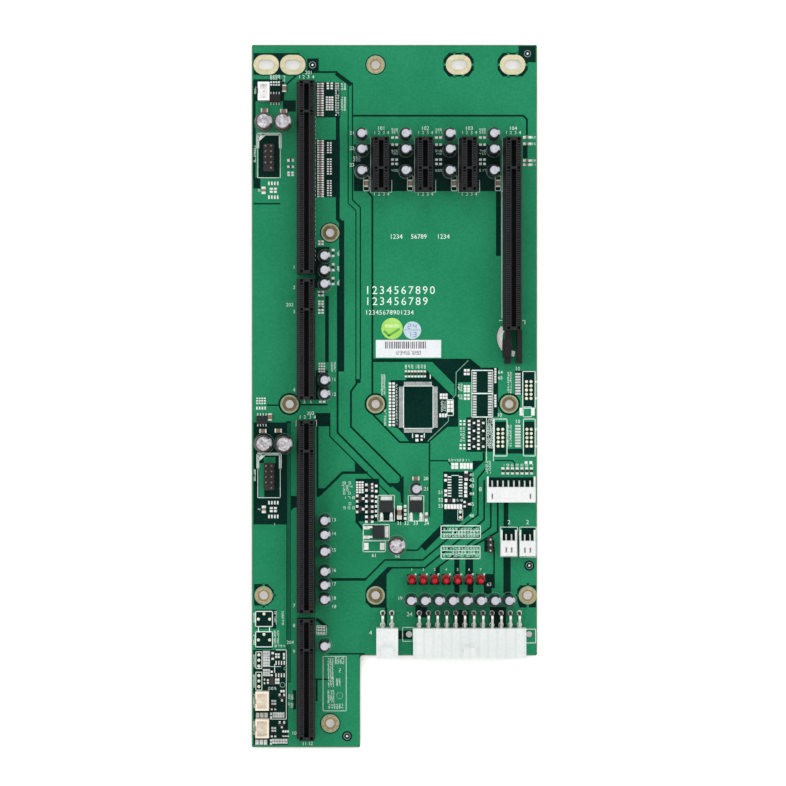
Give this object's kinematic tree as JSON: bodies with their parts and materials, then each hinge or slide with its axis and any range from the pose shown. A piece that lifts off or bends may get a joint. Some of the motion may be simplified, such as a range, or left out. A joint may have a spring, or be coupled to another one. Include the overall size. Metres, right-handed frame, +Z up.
{
  "type": "passive backplane",
  "caption": "Long notched green circuit board with a column of host card slots, a group of expansion card slots, right-angle power headers, capacitors and red lamps.",
  "frame": {"origin": "under the middle of the board, on the plane of the slot pegs' feet", "axes": "+X across the board, +Y along it towards the edge with the oblong holes, +Z up out of the slots"},
  "size_m": [0.132, 0.325, 0.0145],
  "materials": {
    "solder_mask": "satin",
    "black_plastic": "matte",
    "white_nylon": "satin",
    "cream_nylon": "satin",
    "tinned_metal": "satin",
    "can_aluminium": "satin",
    "red_lens": "gloss",
    "chip_black": "matte",
    "brown_ceramic": "satin"
  },
  "bodies": {
    "root": {"auxiliary_power_header": "white_nylon", "auxiliary_power_pins": "tinned_metal", "card_slot_1_housing": "black_plastic", "card_slot_2_housing": "black_plastic", "card_slot_3_housing": "black_plastic", "card_slot_capacitors": "can_aluminium", "chip_capacitors": "brown_ceramic", "circuit_board": "solder_mask", "driver_chip_bodies": "chip_black", "driver_chip_leads": "tinned_metal", "fan_wafer_lower_housing": "cream_nylon", "fan_wafer_lower_pins": "tinned_metal", "fan_wafer_upper_housing": "cream_nylon", "fan_wafer_upper_pins": "tinned_metal", "host_slot_1_housing": "black_plastic", "host_slot_2_housing": "black_plastic", "host_slot_3_housing": "black_plastic", "host_slot_4_housing": "black_plastic", "host_slot_capacitors": "can_aluminium", "indicator_lamp_leads": "tinned_metal", "indicator_lamps": "red_lens", "jumper_header_base": "black_plastic", "jumper_header_pins": "tinned_metal", "large_capacitors": "can_aluminium", "long_card_slot_housing": "black_plastic", "lower_switch_header_base": "black_plastic", "lower_switch_header_pins": "tinned_metal", "main_power_header": "white_nylon", "main_power_pins": "tinned_metal", "panel_wafer_housing": "white_nylon", "panel_wafer_pins": "tinned_metal", "power_capacitors": "can_aluminium", "transistor_bodies": "chip_black", "transistor_tabs_and_leads": "tinned_metal", "two_way_wafer_left_housing": "white_nylon", "two_way_wafer_left_pins": "tinned_metal", "two_way_wafer_right_housing": "white_nylon", "two_way_wafer_right_pins": "tinned_metal", "upper_switch_header_base": "black_plastic", "upper_switch_header_pins": "tinned_metal", "upright_panel_wafer_housing": "white_nylon", "upright_panel_wafer_pins": "tinned_metal"}
  },
  "joints": []
}
